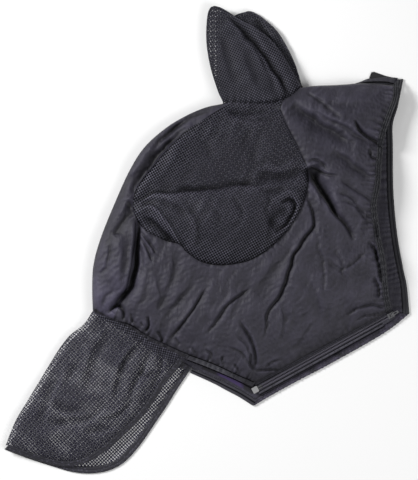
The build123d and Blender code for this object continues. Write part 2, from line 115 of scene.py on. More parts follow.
# Folds in the cloth: points, depth, half width, lip on the left, lip on the right and, where the
# width changes along the fold, taper. The side with the larger lip is the steep one. A negative
# depth makes a ridge, and a negative taper makes the fold shallower along its run too.
FOLDS = [
    ([(180, 127), (190, 106), (203, 83), (218, 61), (233, 38)], 36, 6.4, 2, 2.2, -0.75),
    ([(200, 88), (214, 66), (229, 44), (246, 22), (262, -4)], 6.5, 3.8, 2.2, 2.6),
    ([(176, 124), (190, 98), (196, 80), (199, 56)], -4, 2.6, 0, 0),
    ([(176, 118), (184, 127), (208, 116), (232, 112)], 4, 2.2, 4, 1),
    ([(176, 136), (190, 141), (206, 132), (212, 122)], 3, 2.2, 2.4, 1.5),
    ([(173, 86), (183, 54), (189, 22), (174, 3), (154, -30), (142, -66), (124, -108), (107, -130),
      (104, -152), (101, -182)], 6, 3, 2, 4.2, 0.15),
    ([(192, 24), (196, -10), (206, -50), (208, -110)], 1.6, 3, 1.2, 1),
    ([(-5, -90), (-31, -131), (-70, -182)], 4.6, 2.4, 1.5, 3.6, 0.2),
    ([(74, -92), (42, -112), (17, -143), (-4, -174)], 4, 3, 2, 3.4, 0.3),
    ([(-127, 32), (-130, -20), (-135, -63), (-143, -90), (-160, -112), (-174, -134)],
     20, 4.8, 1.6, 3, 0.3),
    ([(-134, 28), (-137, -20), (-142, -60), (-150, -88)], -3.6, 2.6, 0, 0),
    ([(-122, 12), (-104, -12), (-94, -28)], 4.5, 2.2, 1, 2),
    ([(-124, 4), (-110, -20), (-101, -42)], 4, 2.2, 1, 2),
    ([(-122, -10), (-119, -40), (-124, -74)], 3, 3, 1, 2),
    ([(261, 212), (268, 197), (288, 181), (318, 163)], 11, 3, 1.5, 3, 0.4),
    ([(190, 226), (222, 208), (256, 190), (292, 172), (322, 160)], 4.5, 5, 4, 1),
    ([(288, 160), (292, 146), (306, 141)], 3.4, 2.4, 1, 2),
    ([(150, 240), (168, 226), (186, 213), (212, 197), (240, 181), (264, 169)], 12, 9, 3, 1),
    ([(176, 262), (208, 240), (240, 212)], 2.6, 4, 2, 2),
    ([(222, 157), (259, 131), (298, 104)], 5, 7, 3, 2),
    ([(236, 106), (262, 88), (300, 60)], 2.2, 3.4, 1, 2),
    ([(228, 84), (256, 70), (290, 36)], 2, 3, 1, 1.8),
    ([(238, 66), (262, 58), (286, 28)], 1.8, 2.6, 1, 1.6),
    ([(297, -14), (303, -37), (307, -60), (313, -80)], 7, 2.8, 1, 2.5),
    ([(299, 30), (300, 14), (305, -2)], 4.5, 2.6, 1, 2),
    ([(286, -6), (300, -22), (302, -44)], 3.4, 2.6, 2, 1),
    ([(298, -70), (306, -88), (308, -110)], 4.5, 2.4, 2, 1),
    ([(232, -62), (259, -46), (284, -24)], 2.2, 2.4, 1, 2.4),
    ([(226, -20), (240, -44), (238, -70)], 1.6, 3, 1.6, 1),
    ([(212, -36), (236, -58), (250, -84)], 1.4, 3.6, 1.6, 1),
    ([(56, -148), (70, -170), (84, -204), (83, -240)], 4.5, 2.4, 3.6, 1.6, 0.2),
    ([(76, -206), (74, -224), (82, -240)], 4, 2.2, 1, 3),
    ([(36, -196), (58, -206), (76, -230)], 2.4, 2.2, 2.4, 1),
    ([(50, -176), (66, -190), (76, -212)], 1.8, 2.2, 1, 2),
    ([(250, -140), (270, -126), (298, -121), (318, -127)], 3.4, 2.4, 1, 2.6),
    ([(262, -150), (288, -140), (312, -138)], 2, 2.6, 1, 1.6),
    ([(84, -240), (104, -238), (130, -240)], 3.4, 2.2, 1, 2.4),
    ([(100, -236), (112, -224), (136, -218)], 1.8, 2.2, 1.8, 1),
    ([(150, -204), (172, -176), (186, -150)], 1.5, 3.4, 1.6, 1),
    ([(-138, 70), (-130, 96), (-108, 126), (-84, 154), (-60, 180), (-42, 199)], 15, 7, 1, 1.6, 0.1),
    ([(-104, 160), (-72, 188), (-48, 206), (-20, 222), (8, 232)], 7, 4.4, 1.6, 2.4),
    ([(-96, 172), (-66, 196), (-44, 210)], 3, 3, 1.6, 2),
    ([(-158, 40), (-150, 62), (-134, 82)], -4, 3.6, 0, 0),
    ([(-146, 70), (-140, 52), (-134, 38)], 7, 6, 0, 0),
    ([(-172, 44), (-152, 88), (-136, 118)], 4, 7, 0.6, 2),
    ([(-158, 8), (-159, -36), (-163, -92)], -7, 10, 0, 0),
    ([(-176, -8), (-181, -48), (-194, -66)], 2.6, 4, 1, 2),
    ([(-170, -92), (-184, -104), (-192, -124)], 2, 4, 1, 2),
    ([(-146, 46), (-158, 20), (-172, 6)], 4, 5, 1, 2),
    ([(-58, -20), (-62, -70), (-88, -128)], 2.6, 7, 1, 4),
    ([(-96, -52), (-84, -96), (-90, -140)], 2, 6, 1, 3.4),
    ([(-20, -60), (-40, -96), (-84, -150)], 1.8, 5, 1, 3.4),
    ([(-104, -52), (-112, -96), (-128, -126)], 1.8, 5, 1, 2.6),
    ([(-180, -137), (-171, -124), (-160, -123), (-153, -134), (-155, -149)], 7, 2.4, 1, 2.4),
    ([(-138, -136), (-139, -147), (-132, -156)], 3.4, 2.2, 1, 2),
    ([(-108, -140), (-106, -156), (-112, -170)], 6, 2.2, 2.4, 1),
    ([(-122, -150), (-118, -160)], 2.6, 2, 1, 1),
    ([(-94, -168), (-86, -178), (-84, -190)], 4.4, 2.2, 1, 2),
    ([(-60, -178), (-50, -192)], 2.6, 2.2, 2, 1),
    ([(-30, -196), (-24, -208)], 2.6, 2.2, 1, 2),
    ([(-6, -200), (6, -208), (4, -222)], 3.2, 2.2, 2, 1),
    ([(24, -212), (26, -228)], 2.8, 2.2, 1, 2),
    ([(46, -226), (54, -240)], 2.6, 2, 1, 2),
    ([(150, -20), (120, -56), (84, -100)], 2.2, 8, 1, 4.5),
    ([(74, -70), (58, -110), (28, -160)], 1.6, 6, 1, 3),
    ([(170, -60), (190, -108), (200, -160)], 1.8, 8, 2.4, 1),
    ([(130, -110), (138, -150), (130, -190)], 1.8, 5, 1, 2),
    ([(214, 20), (226, -30), (222, -90)], 1.8, 9, 2, 1),
    ([(196, 250), (236, 238), (300, 242)], 2.4, 8, 2, 1),
]
EYE_FOLDS = [
    ([(-134, 64), (-104, 78), (-60, 83), (-5, 88), (40, 100)], 5, 4, 1, 1.5, 0.3),
    ([(20, 92), (50, 98), (84, 96), (110, 102)], 3, 5, 1, 2.5),
    ([(84, 116), (120, 112), (150, 116), (184, 126)], 3, 7, 3.5, 0.5),
    ([(100, 134), (126, 126), (156, 140)], -4, 9, 0, 0),
    ([(-120, 66), (-92, 64), (-70, 70)], 4, 8, 0, 0),
    ([(90, 88), (114, 84), (136, 92)], 2.6, 6, 1, 1),
    ([(-118, 38), (-96, 26), (-76, 6), (-58, -8)], 8, 6, 1, 0.5),
    ([(-130, 46), (-108, 56), (-88, 46), (-66, 14), (-46, -24)], -4.6, 3.4, 0, 0),
    ([(128, 64), (144, 70), (154, 62), (153, 46), (140, 28), (118, 8)], 7, 3, 2.4, 1),
    ([(108, 20), (122, 40), (142, 52)], 6, 11, 0, 0),
    ([(104, 36), (114, 62), (136, 82), (166, 80)], -3, 3.6, 0, 0),
    ([(96, 66), (112, 30), (102, -16)], 1.6, 5, 1, 1.6),
    ([(44, 78), (60, 40), (40, 10)], 1.4, 5, 1.6, 1),
    ([(-44, 66), (-18, 26), (-20, -16)], 1.8, 5, 1, 2.4),
    ([(4, 60), (20, 36), (8, 12)], 1.4, 5, 1.2, 1),
    ([(-90, 66), (-66, 60), (-36, 44)], 2.2, 6, 1.6, 1),
    ([(120, 96), (104, 74), (118, 50)], 1.8, 5, 1, 1.4),
    ([(60, 208), (76, 160), (88, 126)], 1.2, 9, 1.4, 1),
    ([(-20, 186), (10, 140), (20, 104)], 1.2, 8, 1.2, 1),
    ([(28, 232), (62, 224), (110, 228)], 3, 6, 0, 3),
    ([(34, 224), (70, 214), (116, 214)], 1.6, 5, 1, 2),
]
FLAP_FOLDS = [
    ([(-122, -180), (-158, -240), (-172, -292)], 4.2, 6, 2.4, 3.4),
    ([(-104, -196), (-122, -240), (-134, -262), (-150, -310)], 4.4, 6, 3, 2.5, 0.2),
    ([(-216, -190), (-262, -250), (-300, -330)], -3, 8, 0, 0),
    ([(-210, -300), (-240, -312), (-284, -300)], 4, 9, 2, 2),
    ([(-176, -164), (-206, -214), (-226, -276)], 4, 9, 2.5, 3.5),
    ([(-84, -206), (-88, -240), (-104, -280)], 5, 5, 2.5, 2.5),
    ([(-96, -240), (-110, -250), (-126, -240)], 3, 5, 1.5, 1.5),
    ([(-186, -290), (-222, -326), (-290, -336)], 4.4, 8, 3.4, 2.4),
    ([(-270, -240), (-290, -290), (-310, -344)], 3, 9, 2.2, 2.2),
    ([(-150, -330), (-186, -344), (-226, -352)], 3.4, 7, 2, 2),
    ([(-226, -200), (-250, -240), (-262, -270)], 2.6, 8, 1.6, 1.6),
    ([(-134, -290), (-160, -318), (-200, -330)], 3.4, 5, 2, 2.6),
]


# --- Curves, mm
def smooth(points, step=2.2):
    """Catmull-Rom curve through points, sampled at about one step."""
    p = np.array(points, float)
    p = np.vstack([2 * p[0] - p[1], p, 2 * p[-1] - p[-2]])
    out = []
    for i in range(1, len(p) - 2):
        count = max(1, int(round(np.linalg.norm(p[i + 1] - p[i]) / step)))
        t = (np.arange(count) / count)[:, None]
        a, b, c, d = p[i - 1:i + 3]
        out.append(0.5 * (2 * b + (c - a) * t + (2 * a - 5 * b + 4 * c - d) * t ** 2
                          + (3 * b - a - 3 * c + d) * t ** 3))
    out.append(p[-2][None, :])
    return np.vstack(out)


def resample(curve, count):
    """The same curve as count evenly spaced points."""
    run = along(curve)
    at = np.linspace(0, run[-1], count)
    return np.column_stack([np.interp(at, run, curve[:, k]) for k in range(curve.shape[1])])


def along(curve):
    """Distance run along a curve at each of its points."""
    return np.concatenate([[0], np.cumsum(np.linalg.norm(np.diff(curve, axis=0), axis=1))])


def nearest(xy, curve):
    """For each point: distance to the curve, side (positive on its left), share of its run, and
    the unit vector from the curve's left side."""
    a, b = curve[:-1], curve[1:]
    ab = b - a
    size = np.maximum((ab ** 2).sum(1), 1e-9)
    best = np.full(len(xy), 1e18)
    index = np.zeros(len(xy), int)
    share = np.zeros(len(xy))
    for k in range(len(a)):
        t = np.clip(((xy - a[k]) @ ab[k]) / size[k], 0, 1)
        d = ((xy - a[k] - t[:, None] * ab[k]) ** 2).sum(1)
        near = d < best
        best[near] = d[near]
        index[near] = k
        share[near] = t[near]
    run = along(curve)
    where = (run[index] + share * np.sqrt(size[index])) / run[-1]
    normal = np.column_stack([-ab[index, 1], ab[index, 0]]) / np.sqrt(size[index])[:, None]
    foot = a[index] + share[:, None] * ab[index]
    side = ((xy - foot) * normal).sum(1)
    return np.sqrt(best), np.where(side < 0, -1.0, 1.0), where, normal


def inside(xy, loop):
    """Which points lie inside a closed outline."""
    x, y = xy[:, 0], xy[:, 1]
    result = np.zeros(len(xy), bool)
    nxt = np.roll(loop, -1, axis=0)
    for (ax, ay), (bx, by) in zip(loop, nxt):
        if ay == by:
            continue
        crosses = (ay > y) != (by > y)
        result ^= crosses & (x < (bx - ax) * (y - ay) / (by - ay) + ax)
    return result


# --- Heights, mm
def wave_field(xy, wavelength, seed):
    """Smooth random relief of about the given wavelength, between -1 and 1."""
    rng = np.random.default_rng(seed)
    total = np.zeros(len(xy))
    for _ in range(14):
        turn = rng.uniform(0, 2 * math.pi)
        k = 2 * math.pi / (wavelength * rng.uniform(0.7, 1.6))
        phase = rng.uniform(0, 2 * math.pi)
        total += np.sin(k * (xy @ np.array([math.cos(turn), math.sin(turn)])) + phase)
    return total / 5.0


def line_side(xy, a, b):
    """Distance to the left of the line from a to b."""
    length = math.hypot(b[0] - a[0], b[1] - a[1])
    return ((b[0] - a[0]) * (xy[:, 1] - a[1]) - (b[1] - a[1]) * (xy[:, 0] - a[0])) / length


def dome(xy, edges, full, softness):
    """Lowest of the edges' rising heights, rounded where they meet."""
    heights = [np.full(len(xy), float(full))]
    for a, b, edge, reach in edges:
        inward = np.maximum(line_side(xy, a, b), -8.0)
        heights.append(edge + (full - edge) * (1 - np.exp(-inward / reach)))
    return -softness * np.log(sum(np.exp(-h / softness) for h in heights))


def fold_relief(xy, folds, seed=5):
    """Creases with lips beside them that fall away slowly, deepest in the middle of their run."""
    total = np.zeros(len(xy))
    wander = wave_field(xy, 42.0, seed) * 1.6
    for points, depth, width, left, right, *more in folds:
        taper = more[0] if more else 0.0
        curve = smooth(points, 5.0)
        low, high = curve.min(0) - 9 * width, curve.max(0) + 9 * width
        close = np.nonzero(((xy > low) & (xy < high)).all(1))[0]
        if not len(close):
            continue
        d, side, t, _ = nearest(xy[close], curve)
        s = d * side + wander[close] * (0.4 if width < 3 else 1.0)
        ends = np.clip(t * (1 - t) * 6.0, 0, 1) ** 0.7 * (1 + min(taper, 0) * t)
        beyond = np.exp(-(np.maximum(d - np.abs(d * side), 0) / (1.5 * width)) ** 2)
        w = width * (1 + taper * (2 * t - 1))
        steep, slow = (0.75, 1.9) if left >= right else (1.9, 0.75)
        valley = -depth * np.exp(-np.abs(s / (w * np.where(s > 0, steep, slow))) ** 1.8)
        away = np.maximum(np.abs(s) - 0.6 * w, 0)
        lip = (1 - np.exp(-away / (0.8 * w))) * np.exp(-away / (2.6 * width + 3.0))
        lip *= 1.5 * np.where(s > 0, left, right) * np.clip(4 * t * (1 - t), 0, 1)
        total[close] += (valley * ends + lip) * beyond
    return total


def pucker(xy, curve, height, pitch, reach, seed, one_sided=True):
    """Short ruffles that run square to a gathered seam and fade away from it."""
    rng = np.random.default_rng(seed)
    dense = smooth(curve, 4.0)
    everywhere = np.zeros(len(xy))
    low, high = dense.min(0) - 6 * reach, dense.max(0) + 6 * reach
    close = np.nonzero(((xy > low) & (xy < high)).all(1))[0]
    if not len(close):
        return everywhere
    xy = xy[close]
    d, _, t, _ = nearest(xy, dense)
    length = along(dense)[-1]
    s = t * length
    phase = np.zeros(len(xy))
    for k in range(1, 6):
        phase += rng.uniform(-1.2, 1.2) * np.sin(2 * math.pi * k * t + rng.uniform(0, PHASE))
    local = 0.35 + 0.65 * (0.5 + 0.5 * np.sin(2 * math.pi * t * 5.3 + rng.uniform(0, PHASE)))
    drift = 0.10 * d * np.sin(s / 31.0)
    wave = np.sin(2 * math.pi * (s + drift) / pitch + phase * 1.6)
    wave = np.sign(wave) * np.abs(wave) ** 0.8
    everywhere[close] = height * local * wave * np.exp(-d / reach) * (1 - np.exp(-(d + 0.6) / 1.2))
    return everywhere


def crumple(xy, angle, across, along_fold, seed):
    """Fine slack wrinkles that mostly run one way, sharp on their crests."""
    rng = np.random.default_rng(seed)
    total = np.zeros(len(xy))
    for _ in range(10):
        turn = angle + rng.normal(0, 0.28)
        k = 2 * math.pi / (across * rng.uniform(0.7, 1.5))
        u = xy @ np.array([math.cos(turn), math.sin(turn)])
        v = xy @ np.array([-math.sin(turn), math.cos(turn)])
        bend = rng.uniform(2, 5) * np.sin(2 * math.pi * v / (along_fold * rng.uniform(0.8, 1.6))
                                          + rng.uniform(0, PHASE))
        total += (1 - 2 * np.abs(np.sin(0.5 * k * (u + bend) + rng.uniform(0, PHASE)))) * (
            0.5 + 0.5 * np.sin(2 * math.pi * v / (along_fold * 1.7) + rng.uniform(0, PHASE)))
    return total / 3.2


CUP_RISE, CUP_REACH, CUP_RIM = 17.0, 20.0, 30.0    # height, and the reach from dart and from rim


def eye_cup(xy):
    """The darted cup that keeps the net off the eye: it springs up below the dart."""
    dart = smooth([(-150, 52), (-111, 83), (-67, 92), (-4, 86), (57, 97), (93, 106), (143, 109),
                   (196, 128)], 6.0)
    d, side, _, _ = nearest(xy, dart)
    below = np.maximum(-d * side, 0)
    rim, _, _, _ = nearest(xy, smooth(EYE_LOWER, 6.0))
    loop = np.vstack([smooth(EYE_FRONT, 6.0), smooth(EYE_LOWER, 6.0)[::-1]])
    within = inside(xy, loop) | (xy[:, 1] > 200)
    rim = np.where(within, rim, 0)
    return CUP_RISE * (1 - np.exp(-below / CUP_REACH)) * (1 - np.exp(-rim / CUP_RIM))


# Ruffles at the seams of the upper layer: seam, height, pitch, reach, seed
GATHERS = [(NECK_SEAM, 2.2, 9.5, 11.0, 21), (NOSE_SEAM, 3.2, 15.0, 13.0, 22),
           (CHIN_SEAM, 2.2, 11.0, 12.0, 23), (EYE_LOWER, 0.7, 12.0, 8.0, 24),
           (ZIP_SEAM, 0.9, 13.0, 12.0, 25), (EYE_FRONT, 0.6, 14.0, 8.0, 26)]
FACE_TOP = 50.0                   # height the dome of the face would reach far from its edges
FACE_LIFT = 5.0
NOSE_TOP = 23.5                   # height of the flap where it meets the nose seam
CHEEK, CHEEK_SIZE, CHEEK_RISE = (20, 40), (85, 60), 9.0    # the bulge below the eye


def face_height(xy):
    """Height of the upper layer of the head cover."""
    z = dome(xy, FACE_EDGES, FACE_TOP, 4.0) + FACE_LIFT
    u, v = ((xy - CHEEK) / CHEEK_SIZE).T
    z += CHEEK_RISE * np.exp(-u ** 2 - v ** 2)
    z += eye_cup(xy)
    z += fold_relief(xy, FOLDS)
    z += 1.8 * wave_field(xy, 75.0, 3) + 0.6 * wave_field(xy, 28.0, 4)
    patch = 0.55 + 0.45 * wave_field(xy, 120.0, 6)
    z += 1.3 * patch * crumple(xy, -0.56, 19.0, 90.0, 7)
    z += 0.75 * crumple(xy, -0.95, 10.0, 40.0, 8) * (1 - patch * 0.5)
    z += 0.5 * crumple(xy, 0.45, 9.0, 30.0, 9) * patch
    for seam, height, pitch, reach, seed in GATHERS:
        z += pucker(xy, seam, height, pitch, reach, seed)
    rim, _, _, _ = nearest(xy, smooth(EYE_LOWER, 5.0))
    z -= 1.6 * np.exp(-(rim / 3.0) ** 2)
    return z


def eye_height(xy):
    """Height of the left eye's net, with its own folds."""
    return face_height(xy) + fold_relief(xy, EYE_FOLDS, 8)


def flap_height(xy):
    """Height of the nose flap's upper layer."""
    z = dome(xy, FLAP_EDGES, 25.0, 2.5)
    edge, _, _, _ = nearest(xy, smooth(FLAP_HEM, 6.0))
    calm = 1 - np.exp(-edge / 25.0)
    z += calm * fold_relief(xy, FLAP_FOLDS, 9)
    z += 1.0 * calm * wave_field(xy, 45.0, 13) + 0.25 * wave_field(xy, 18.0, 14)
    outside = np.maximum(line_side(xy, (-40, -218), (-209, -131)), 0)
    near = np.exp(-outside / 14.0)
    z = z * (1 - near) + NOSE_TOP * near
    return z + pucker(xy, NOSE_LINE, 1.6, 13.0, 16.0, 27)


# --- Making meshes
def metres(points):
    """Drawing points in mm as points of the frame in metres."""
    p = np.array(points, float)
    p[:, :2] += OFFSET
    return p / 1000.0


def new_object(name, vertices, faces, material):
    mesh = bpy.data.meshes.new(name)
    mesh.from_pydata([tuple(v) for v in vertices], [], [tuple(f) for f in faces])
    mesh.update()
    mesh.materials.append(material)
    mesh.polygons.foreach_set("use_smooth", [True] * len(mesh.polygons))
    obj = bpy.data.objects.new(name, mesh)
    bpy.context.scene.collection.objects.link(obj)
    return obj


def triangulate(loop, cell):
    """Triangles inside a closed outline, on a triangular grid."""
    low, high = loop.min(0), loop.max(0)
    rows = np.arange(low[1], high[1], cell * 0.866)    # the height of a triangle with equal sides
    points = []
    for k, y in enumerate(rows):
        xs = np.arange(low[0] + (k % 2) * cell / 2, high[0], cell)
        points.append(np.column_stack([xs, np.full(len(xs), y)]))
    grid = np.vstack(points)
    grid = grid[inside(grid, loop)]
    closed = np.vstack([loop, loop[:1]])
    d, _, _, _ = nearest(grid, closed)
    grid = grid[d > cell * 0.55]
    grid = grid + np.random.default_rng(7).uniform(-0.06, 0.06, grid.shape) * cell
    every = np.vstack([loop, grid])
    count = len(loop)
    edges = [(i, (i + 1) % count) for i in range(count)]
    verts, _, faces, _, _, _ = delaunay_2d_cdt([Vector(p) for p in every], edges, [], 1, 1e-4)
    return np.array([tuple(v) for v in verts]), [tuple(f) for f in faces]


def round_edge(xy, curve, radius, height):
    """Roll the cloth over an edge: points are moved so that the cloth meets the edge upright, as
    high above the floor as the edge's radius."""
    reach = radius * math.pi / 2
    d, side, _, normal = nearest(xy, curve)
    p = d * side
    a = np.clip(p + (reach - radius), 0, reach)
    turn = a / radius
    moved = xy.copy()
    rolled = p < radius
    shift = radius * (1 - np.cos(turn)) - p
    moved[rolled] += (normal * shift[:, None])[rolled]
    z = height(moved)
    z[rolled] = (radius + (z - radius) * np.sin(turn))[rolled]
    return moved, z


def rolled_map(edge, radius, height):
    return lambda xy: round_edge(xy, edge, radius, height)


def level(z):
    """A height that is the same everywhere."""
    return lambda xy: np.full(len(xy), z)


def offset_curve(curve, distance):
    """The curve moved to its left."""
    tangent = np.gradient(curve, axis=0)
    tangent /= np.linalg.norm(tangent, axis=1)[:, None]
    return curve + np.column_stack([-tangent[:, 1], tangent[:, 0]]) * distance


def cell(size):
    return size


# --- Materials
def principled(name, colour, roughness=0.8, sheen=0.0, metallic=0.0, specular=0.3):
    m = bpy.data.materials.new(name)
    m.use_nodes = True
    b = m.node_tree.nodes["Principled BSDF"]
    b.inputs["Base Color"].default_value = (*colour, 1)
    b.inputs["Roughness"].default_value = roughness
    b.inputs["Metallic"].default_value = metallic
    b.inputs["Specular IOR Level"].default_value = specular
    if sheen:
        b.inputs["Sheen Weight"].default_value = sheen
        b.inputs["Sheen Roughness"].default_value = 0.4
    return m, m.node_tree, b


def add(tree, kind, *inputs, **values):
    """A node. Its settings have lower-case names. Its inputs are given in order or by name, with an
    underscore for a space, each as a value or as the socket to link to it."""
    n = tree.nodes.new(kind)
    for key in [k for k in values if k.islower()]:
        setattr(n, key, values.pop(key))
    for key, value in [*enumerate(inputs), *values.items()]:
        socket = n.inputs[key.replace("_", " ") if isinstance(key, str) else key]
        if isinstance(value, bpy.types.NodeSocket):
            tree.links.new(value, socket)
        else:
            socket.default_value = value
    return n


def math_node(tree, operation, *inputs):
    return add(tree, "ShaderNodeMath", *inputs, operation=operation).outputs[0]


def scaled(tree, colour, amount):
    return add(tree, "ShaderNodeVectorMath", colour, Scale=amount, operation="SCALE").outputs[0]


def ramp_node(tree, value, *stops):
    """Colour by value. Each stop is a position and a colour or grey; the two ends come first."""
    ramp = add(tree, "ShaderNodeValToRGB", value)
    elements = ramp.color_ramp.elements
    for k, (position, colour) in enumerate(stops):
        stop = elements[k] if k < 2 else elements.new(position)
        stop.position = position
        stop.color = (*(colour if isinstance(colour, tuple) else (colour,) * 3), 1)
    return ramp.outputs["Color"]


def colour_variation(tree, bsdf, dark, light, scale):
    """Slow change of shade across the cloth."""
    coords = add(tree, "ShaderNodeTexCoord").outputs["Object"]
    noise = add(tree, "ShaderNodeTexNoise", coords, Scale=scale, Detail=4.0, Roughness=0.6)
    shade = ramp_node(tree, noise.outputs["Fac"], (0.3, dark), (0.7, light))
    tree.links.new(shade, bsdf.inputs["Base Color"])
    return coords, shade


def paint_shade_and_highlight_by_relief(tree, colour, bsdf, low, high):
    """Painted shade and highlight: the colour is darkened in the creases, nearly to black in the
    deepest, and lightened on the crests, by the relief attribute.
    """
    relief = add(tree, "ShaderNodeAttribute", attribute_name="relief").outputs["Fac"]
    shade = ramp_node(tree, relief, (0.0, 0.05), (0.88, high), (0.14, low), (0.5, 1.0))
    both = add(tree, "ShaderNodeVectorMath", colour, shade, operation="MULTIPLY")
    tree.links.new(both.outputs[0], bsdf.inputs["Base Color"])


RIB_SCALE = 1000 / 0.9 / 6.2832    # a wave texture's scale for a rib every 0.9 mm


def knit_bump(tree, bsdf, coords):
    """Fine ribs of a knit, as relief."""
    turn = add(tree, "ShaderNodeMapping", coords, Rotation=(0, 0, 0.6)).outputs[0]
    wave = add(tree, "ShaderNodeTexWave", turn, Scale=RIB_SCALE, Distortion=0.6, Detail=1.0,
               Detail_Scale=2.0)
    across = add(tree, "ShaderNodeTexWave", turn, Scale=RIB_SCALE * 0.8, Distortion=0.4,
                 bands_direction="Y")
    both = math_node(tree, "ADD", wave.outputs["Fac"], across.outputs["Fac"])
    bump = add(tree, "ShaderNodeBump", Height=both, Strength=0.25, Distance=0.0004)
    tree.links.new(bump.outputs[0], bsdf.inputs["Normal"])
    return bump


def crinkle(tree, coords, stretch_angle, scale):
    """Fine slack wrinkles, longer one way than the other."""
    turn = add(tree, "ShaderNodeMapping", coords, Rotation=(0, 0, stretch_angle),
               Scale=(1.0, 0.22, 1.0))
    return add(tree, "ShaderNodeTexNoise", turn.outputs[0], Scale=scale, Detail=3.0,
               Roughness=0.55, Distortion=0.6).outputs["Fac"]


def paint_shade_along_y(tree, coords, colour, start, end, shade_start, shade_end):
    """Painted shade and light: the colour is scaled from one shade at one Y to another at the
    other.
    """
    y = add(tree, "ShaderNodeSeparateXYZ", coords).outputs[1]
    fade = add(tree, "ShaderNodeMapRange", Value=y, From_Min=start, From_Max=end,
               To_Min=shade_start, To_Max=shade_end)
    return scaled(tree, colour, fade.outputs[0])


def lycra_material(name, dark, light, sheen=0.05, relief=False, dots=0.0, patches=14.0, fade=None):
    """Stretch cloth. Dots are the light stitches of a hem, by their share of the cloth's shade.
    Relief takes the point attribute that set_relief stores, which only the panels have, and paints
    shade into the creases and highlight onto the crests. Fade paints shade towards one end along Y
    and light towards the other."""
    m, tree, b = principled(name, light, 0.6, sheen, specular=0.34)
    coords, colour = colour_variation(tree, b, dark, light, 38.0 if relief else patches)
    if dots:
        cells = add(tree, "ShaderNodeTexVoronoi", coords, Scale=210.0)
        spot = math_node(tree, "LESS_THAN", cells.outputs["Distance"], 0.33)
        gain = math_node(tree, "ADD", math_node(tree, "MULTIPLY", spot, dots), 1.0)
        colour = scaled(tree, colour, gain)
        tree.links.new(colour, b.inputs["Base Color"])
    bump = knit_bump(tree, b, coords)
    # Painted shade towards one end along Y and painted light towards the other.
    if fade:
        colour = paint_shade_along_y(tree, coords, colour, *fade)
    if relief:
        # Painted shade in the creases and painted highlight on the crests.
        paint_shade_and_highlight_by_relief(tree, colour, b, 0.42, 1.6)
        both = math_node(tree, "ADD", crinkle(tree, coords, 0.9, 90.0),
                         crinkle(tree, coords, -0.5, 150.0))
        folds = add(tree, "ShaderNodeBump", Height=both, Strength=0.55, Distance=0.0022)
        tree.links.new(folds.outputs[0], bump.inputs["Normal"])
    return m


def net_material(name, dark, light, pitch, hole, angle, warp=1.6, slack=0.0, pull=0.0):
    """Net cloth: round holes in rows let the light through, and the threads between them are
    lightest where they are thickest. Pitch and warp are in mm, hole is a radius in pitches, and
    slack and pull open the holes in patches and on crests."""
    m, tree, b = principled(name, dark, 0.6, 0.0, specular=0.15)
    flat = add(tree, "ShaderNodeAttribute", attribute_name="flat").outputs["Vector"]
    relief = add(tree, "ShaderNodeAttribute", attribute_name="relief").outputs["Fac"]
    noise = add(tree, "ShaderNodeTexNoise", flat, Scale=22.0, Detail=1.0)
    shift = add(tree, "ShaderNodeVectorMath", noise.outputs["Color"],
                (2 * warp / 1000, 2 * warp / 1000, 0), flat, operation="MULTIPLY_ADD")
    turn = add(tree, "ShaderNodeMapping", shift.outputs[0], Rotation=(0, 0, angle),
               Scale=(1000 / pitch, 1000 / pitch, 0))
    split = add(tree, "ShaderNodeSeparateXYZ", turn.outputs[0])
    squares = []
    for axis in (0, 1):
        f = math_node(tree, "SUBTRACT", math_node(tree, "FRACT", split.outputs[axis]), 0.5)
        squares.append(math_node(tree, "MULTIPLY", f, f))
    near = math_node(tree, "SQRT", math_node(tree, "ADD", *squares))
    patches = add(tree, "ShaderNodeTexNoise", flat, Scale=26.0, Detail=2.0, Distortion=1.0)
    opening = hole
    for source, amount in ((patches.outputs["Fac"], slack), (relief, pull)):
        centred = math_node(tree, "SUBTRACT", source, 0.5)
        opening = math_node(tree, "ADD", math_node(tree, "MULTIPLY", centred, 2 * amount), opening)
    tree.links.new(math_node(tree, "GREATER_THAN", near, opening), b.inputs["Alpha"])
    # Painted shade in the net's creases and painted highlight on its crests.
    paint_shade_and_highlight_by_relief(tree, ramp_node(tree, near, (hole + 0.08, dark), (0.62, light)), b, 0.3, 2.0)
    bump = add(tree, "ShaderNodeBump", Height=near, Strength=0.4, Distance=0.0005)
    tree.links.new(bump.outputs[0], b.inputs["Normal"])
    return m


LYCRA = lycra_material("lycra_charcoal", (0.018, 0.0165, 0.0255), (0.030, 0.0275, 0.042), 0.08,
                       True)
# Painted shade on the forehead band towards the ears, and painted light towards the nose.
LYCRA_BAND = lycra_material("lycra_forehead", (0.018, 0.0165, 0.0265), (0.031, 0.028, 0.045), 0.0,
                            True, fade=(-0.12, 0.0, 1.6, 0.62))
LYCRA_FAR = lycra_material("lycra_charcoal_right", (0.020, 0.018, 0.028), (0.032, 0.030, 0.045),
                           relief=True)
NET_NOSE = net_material("net_nose", (0.012, 0.0115, 0.017), (0.092, 0.089, 0.118), pitch=4.0,
                        hole=0.345, angle=0.25, slack=0.36, pull=0.12)
# Painted shade: a darker copy of the nose net for the flap's lower layer, which lies under the
# upper one.
NET_NOSE_FAR = net_material("net_nose_right", (0.008, 0.007, 0.020), (0.028, 0.025, 0.058),
                            pitch=4.5, hole=0.365, angle=0.8, warp=0.8)
NET_EYE = net_material("net_eye", (0.003, 0.003, 0.004), (0.094, 0.091, 0.122), pitch=4.2,
                       hole=0.32, angle=-0.52, warp=0.7, slack=-0.16, pull=-0.05)
# Painted shade: a near-black copy of the eye net for the layer that lies under the upper one.
NET_EYE_FAR = net_material("net_eye_right", (0.005, 0.005, 0.006), (0.012, 0.012, 0.015),
                           pitch=4.2, hole=0.12, angle=0.1)
NET_EAR = net_material("net_ear", (0.004, 0.004, 0.005), (0.072, 0.070, 0.093), pitch=4.0,
                       hole=0.265, angle=0.45, slack=-0.10)
